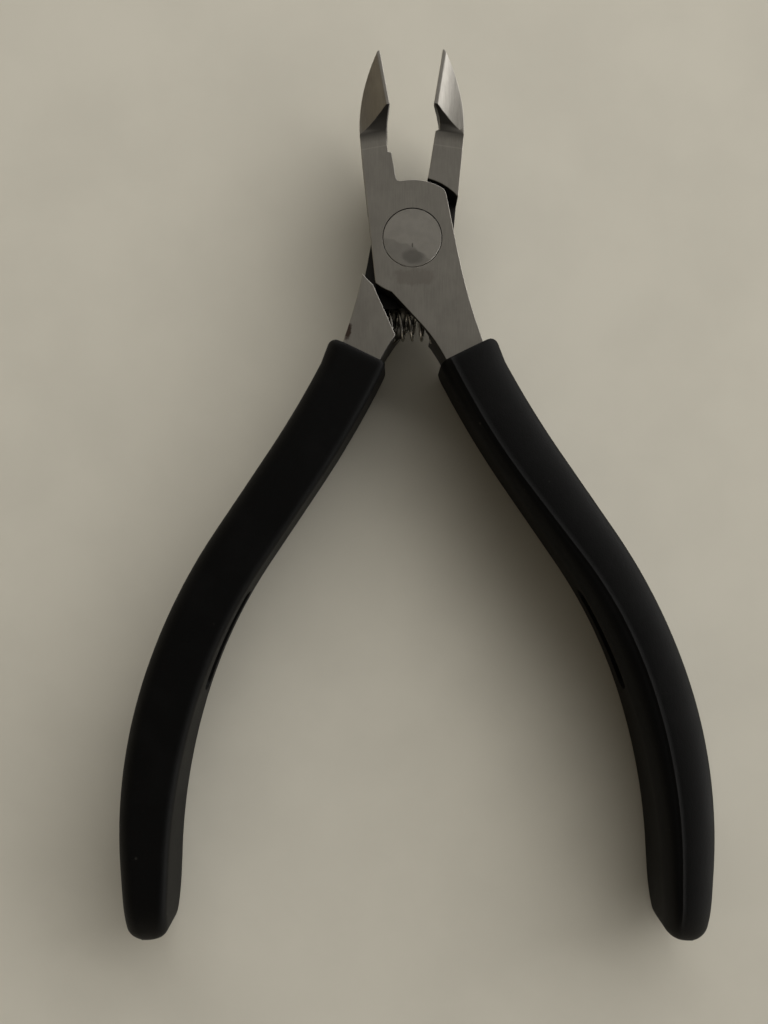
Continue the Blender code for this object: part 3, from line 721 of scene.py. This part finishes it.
def tang_hollow(station, count):
    """A section of the hollow for the tang, with as many points as the grip's own section."""
    share = min(station / TANG_LENGTH, 1.0)
    swell = TANG_SWELL * max(0.0, 1 - station / TANG_SWELL_LENGTH) ** 2
    outer = TANG_OUTER + swell + TANG_CLEARANCE
    inner = TANG_OUTER - TANG_WIDTH + (TANG_WIDTH - TANG_TIP_WIDTH) * share - TANG_CLEARANCE
    high = TANG_HALF_HEIGHT + TANG_CLEARANCE
    corners = [(outer, 0.0), (outer, high), (inner, high), (inner, 0.0)]
    lengths = [math.dist(a, b) for a, b in zip(corners, corners[1:])]
    points = []
    for i in range(count):
        left = sum(lengths) * (i + 0.5) / count
        leg = 0
        while left > lengths[leg]:
            left -= lengths[leg]
            leg += 1
        near, far = corners[leg], corners[leg + 1]
        share_on = left / lengths[leg]
        points.append((near[0] + (far[0] - near[0]) * share_on, near[1] + (far[1] - near[1]) * share_on))
    return points


def spaced(start, end, step):
    """Even steps from start up to, but not including, end."""
    count = max(1, round((end - start) / step))
    return [start + (end - start) * i / count for i in range(count)]


def half_sections(ridged):
    """One half of each section of a grip, with its station, from the hollow's bottom to the far end."""
    sections = []
    body_end = GRIP_LENGTH - END_ROUND
    hollow_end = TANG_LENGTH + TANG_CLEARANCE
    count = len(half_section(hollow_end, 0.0, 0.0, ridged))
    for station in reversed(spaced(0.0, hollow_end, HOLLOW_STEP) + [hollow_end]):
        sections.append((station, tang_hollow(station, count)))
    for i in range(MOUTH_STEPS + 1):
        turn = math.radians(90 * i / MOUTH_STEPS)
        drawn_in = 1 - math.sin(turn)
        station = MOUTH_ROUND * (1 - math.cos(turn))
        lip = half_section(station, LIP_ROUND * drawn_in, MOUTH_ROUND * drawn_in, ridged)
        sections.append((station, lip))
    ends = [start for start, _ in BODY_STRETCHES[1:]] + [body_end]
    for (start, step), end in zip(BODY_STRETCHES, ends):
        for station in spaced(start, end, step):
            sections.append((station, half_section(station, 0.0, 0.0, ridged)))
    for angle in END_ANGLES:
        turn = math.radians(angle)
        inset = END_ROUND * (1 - math.cos(turn))
        station = body_end + END_ROUND * math.sin(turn)
        sections.append((station, half_section(station, inset, inset, ridged)))
    return sections


def gate_nub(work, hand, swing):
    """Adds the small nub that the moulding gate left on the end of a grip."""
    point, side = handle_line(GRIP_LENGTH)
    run = Vector((side.y, -side.x))
    rings = []
    for width_share, reach_share in NUB_PROFILE:
        radius = width_share * NUB_RADIUS
        reach = reach_share * NUB_REACH
        ring = []
        for k in range(NUB_SIDES):
            angle = 2 * math.pi * k / NUB_SIDES
            flat = point + run * reach + side * radius * math.cos(angle)
            height = GRIP_MIDDLE + NUB_RISE + NUB_FLATNESS * radius * math.sin(angle)
            ring.append(work.verts.new(swing @ Vector((hand * flat.x, flat.y, height)) * MM))
        rings.append(ring)
    loft(work, rings)


def grip(name, hand):
    """One grip as a closed loft, opened by half the opening: hand 1 is on +X, hand -1 on -X."""
    swing = Matrix.Rotation(hand * HALF_OPENING, 3, "Z")
    work = bmesh.new()
    rings = []
    for (station, above), (_, below) in zip(half_sections(hand > 0), half_sections(hand < 0)):
        point, side = handle_line(station)
        ring = []
        # The halves share their first point, on the middle of the outer side.
        for across, height in above + [(across, -height) for across, height in reversed(below[1:])]:
            flat = point + side * across
            place = Vector((hand * flat.x, flat.y, GRIP_MIDDLE + height))
            ring.append(work.verts.new(swing @ place * MM))
        rings.append(ring)
    middle = sum((vert.co for vert in rings[-1]), Vector()) / len(rings[-1])
    end_face = [middle + (vert.co - middle) * END_FACE_SHARE for vert in rings[-1]]
    rings.append([work.verts.new(place) for place in end_face])
    loft(work, rings)
    gate_nub(work, hand, swing)
    bmesh.ops.recalc_face_normals(work, faces=work.faces)
    return finished_mesh(name, work, GRIP_SHARP_ANGLE)


def soft_plastic():
    """Matte black soft plastic: a fine moulded grain, dull rubbed patches, dust and light scuffs."""
    made, tree, shader = new_material("black_soft_plastic", {"Specular IOR Level": 0.14})
    place = surface_place(tree)
    grain = stretched_noise(tree, place, cells=(5.0, 5.0, 5.0), rough=0.6)
    pebble = stretched_noise(tree, place, cells=(1.6, 1.6, 1.6), detail=2.0)
    rubbed = stretched_noise(tree, place, cells=(0.12, 0.07, 0.12), detail=4.0)
    worn = placed(tree, marks, {"Smudge": 0.5, "Scratch": 0.06})
    mottle = ramp(tree, grain, 0.3, 0.7)
    base = mix_colour(tree, mottle, tone(BLACK_PLASTIC, 0.75), tone(BLACK_PLASTIC, 1.3))
    base = mix_colour(tree, worn["Smudge"], base, tone(BLACK_PLASTIC, 1.9))
    base = mix_colour(tree, worn["Scratch"], base, tone(PALE_SCUFF))
    inputs = {"Vector": place, "Scale": DUST_CELLS / MM}
    apart = add_node(tree, "ShaderNodeTexVoronoi", inputs, feature="F1").outputs["Distance"]
    speck = ramp(tree, apart, 0.05, 0.11, to_low=1.0, to_high=0.0)
    drift = stretched_noise(tree, place, cells=(0.21, 0.21, 0.21), detail=2.0)
    dust = number(tree, "MULTIPLY", speck, ramp(tree, drift, 0.56, 0.66))
    base = mix_colour(tree, scaled(tree, dust, gain=0.6), base, tone(DUST))
    tree.links.new(base, shader.inputs["Base Color"])
    rough = scaled(tree, rubbed, gain=0.20, base=0.40)
    tree.links.new(scaled(tree, grain, gain=0.12, base=rough), shader.inputs["Roughness"])
    add_bump(tree, shader, scaled(tree, pebble, gain=0.6, base=grain), PLASTIC_GRAIN_DEPTH)
    return made


black_plastic = soft_plastic()
for name, hand, body, node in (
    ("right_sleeve", 1, "front_lever", "right_grip"),
    ("left_sleeve", -1, "rear_lever", "left_grip"),
):
    sleeve = grip(name, hand)
    sleeve.data.materials.append(black_plastic)
    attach(sleeve, body)
    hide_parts(node)

# The table top: a plain pale warm-grey board, matt and a little mottled, that the pliers lie on.
# It is one flat sheet, just under the lowest face of the grips.

FLOOR_HEIGHT = -1.7
FLOOR_CLEARANCE = 0.02
FLOOR_SIZE = 2.4
FLOOR_SHARP_ANGLE = math.radians(30)

BOARD = (0.56, 0.534, 0.462)


def table_board():
    """A pale matt board with a very faint mottle."""
    made, tree, shader = new_material("table_board", {"Roughness": 0.85})
    cloud = stretched_noise(tree, surface_place(tree), cells=(0.05, 0.05, 0.05), detail=5.0)
    base = mix_colour(tree, ramp(tree, cloud, 0.3, 0.7), tone(BOARD, 0.97), tone(BOARD, 1.03))
    tree.links.new(base, shader.inputs["Base Color"])
    return made


board = bmesh.new()
bmesh.ops.create_grid(board, x_segments=1, y_segments=1, size=FLOOR_SIZE / 2)
floor = finished_mesh("table_top", board, FLOOR_SHARP_ANGLE)
floor.location.z = (FLOOR_HEIGHT - FLOOR_CLEARANCE) * MM
floor.data.materials.append(table_board())

# The light and the camera: a wide soft lamp low behind the tool and to its right, which metal doesn't
# mirror, in a room with pale walls, a dim ceiling and the viewer's dark side.
# The camera looks almost straight down on the tool from 11 cm above it.

LAMP_AIM = Vector((0.0, -0.035, 0.0))
LAMP_PLACE = Vector((0.56, 1.01, 0.529))
LAMP_WIDTH = 2.8
LAMP_HEIGHT = 0.75
LAMP_POWER = 31.0
LAMP_COLOUR = (1.0, 0.985, 0.95)
LIT_SIDE = (0.87, 0.50, 0.0)
LIT_WALL = (3.0, 2.95, 2.85)
DIM_WALL = (0.60, 0.54, 0.43)
CEILING = (0.262, 0.251, 0.229)
LEFT_CEILING = (0.135, 0.114, 0.082)
VIEWER = (0.012, 0.011, 0.009)
BACKDROP = (0.43, 0.41, 0.36)
CAMERA_PLACE = Vector((-3.04, -40.215, 111.752)) * MM
CAMERA_TURN = (0.694, 0.654, -0.301)
CAMERA_LENS = 26.06
CAMERA_NEAR = 0.005

lamp_data = bpy.data.lights.new("window_lamp", "AREA")
lamp_data.shape = "RECTANGLE"
lamp_data.size = LAMP_WIDTH
lamp_data.size_y = LAMP_HEIGHT
lamp_data.energy = LAMP_POWER
lamp_data.color = LAMP_COLOUR
lamp = bpy.data.objects.new("window_lamp", lamp_data)
lamp.location = LAMP_PLACE
lamp.rotation_euler = (LAMP_AIM - LAMP_PLACE).to_track_quat("-Z", "Y").to_euler()
lamp.visible_glossy = False
bpy.context.scene.collection.objects.link(lamp)

world = bpy.data.worlds.new("room")
world.use_nodes = True
bpy.context.scene.world = world
tree = world.node_tree
direction = tree.nodes.new("ShaderNodeTexCoord").outputs["Generated"]
compass = along_axes(tree, direction)
lit = ramp(tree, vector(tree, "DOT_PRODUCT", direction, LIT_SIDE), 0.10, 0.75)
walls = mix_colour(tree, lit, tone(DIM_WALL), tone(LIT_WALL))
wall_foot = scaled(tree, lit, gain=0.12, base=0.22)
wall_top = scaled(tree, lit, gain=0.10, base=0.42)
overhead = ramp(tree, compass["Z"], wall_foot, wall_top)
leftward = ramp(tree, compass["X"], -0.50, -0.08, to_low=1.0, to_high=0.0)
ceiling = mix_colour(tree, leftward, tone(CEILING), tone(LEFT_CEILING))
room = mix_colour(tree, overhead, walls, ceiling)
towards_viewer = ramp(tree, compass["Y"], -0.10, 0.17, to_low=0.92, to_high=0.0)
shaded = number(tree, "MULTIPLY", towards_viewer, ramp(tree, compass["Z"], 0.42, 0.68))
room = mix_colour(tree, shaded, room, tone(VIEWER))
seen = tree.nodes.new("ShaderNodeLightPath").outputs["Is Camera Ray"]
tree.links.new(mix_colour(tree, seen, room, tone(BACKDROP)), tree.nodes["Background"].inputs["Color"])

camera_data = bpy.data.cameras.new("camera")
camera_data.lens = CAMERA_LENS
camera_data.clip_start = CAMERA_NEAR
camera = bpy.data.objects.new("camera", camera_data)
camera.location = CAMERA_PLACE
camera.rotation_euler = [math.radians(value) for value in CAMERA_TURN]
bpy.context.scene.collection.objects.link(camera)
bpy.context.scene.camera = camera
bpy.context.scene.view_settings.view_transform = "Standard"
